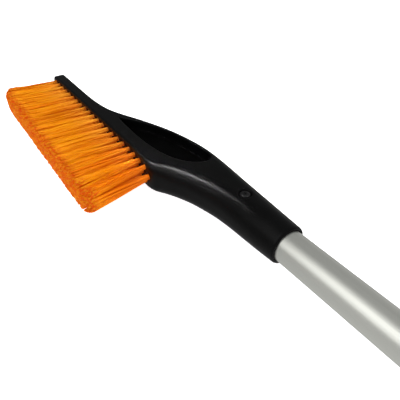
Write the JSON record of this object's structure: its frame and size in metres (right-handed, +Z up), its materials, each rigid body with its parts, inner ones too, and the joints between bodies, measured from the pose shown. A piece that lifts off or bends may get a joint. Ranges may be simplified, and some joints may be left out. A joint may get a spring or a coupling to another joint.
{
  "type": "snow broom",
  "caption": "Telescopic snow broom: orange bristle block in line with a black neck, aluminium tubes, cam-lever clamp, foam grip and hanging eye.",
  "frame": {"origin": "centre of the bounding box's floor, with the broom lying on its side and the handle collapsed", "axes": "+X from the handle's end to the brush head's tip along the tubes, +Y the way the bristles point, +Z up"},
  "size_m": [0.909, 0.1064, 0.042],
  "materials": {
    "black_plastic": "satin moulded polypropylene with a fine grain",
    "grey_plastic": "satin moulded acetal",
    "bristle": "orange plastic filaments, straight, with trimmed tips",
    "aluminium": "satin, clear anodised, with fine lines along the tube",
    "zinc_steel": "bright zinc plated",
    "black_screw": "black plated steel",
    "foam": "closed-cell foam with a fine open skin"
  },
  "bodies": {
    "head": {"brush_head": "black_plastic", "bristle_row_upper": "bristle", "bristle_row_centre": "bristle", "bristle_row_lower": "bristle", "head_screw": "black_screw", "front_tube": "aluminium", "guide_bush": "grey_plastic"},
    "handle": {"rear_tube": "aluminium", "clamp_collar": "black_plastic", "clamp_rivet": "aluminium", "clamp_bolt": "zinc_steel", "clamp_nut": "zinc_steel", "cam_washer": "grey_plastic", "lever_pin": "zinc_steel", "grip_ring": "black_plastic", "foam_grip": "foam", "end_cap": "black_plastic", "end_cap_rivet": "aluminium"},
    "lever": {"cam_lever": "black_plastic"}
  },
  "joints": [
    {"name": "telescope", "type": "slide", "parent": "head", "child": "handle", "axis": [-1, 0, 0], "range_m": [0, 0.28]},
    {"name": "clamp_lever", "type": "hinge", "parent": "handle", "child": "lever", "pos_m": [-0.01855, -0.04733, 0.0365], "axis": [-1, 0, 0], "range_deg": [0, 110]}
  ]
}
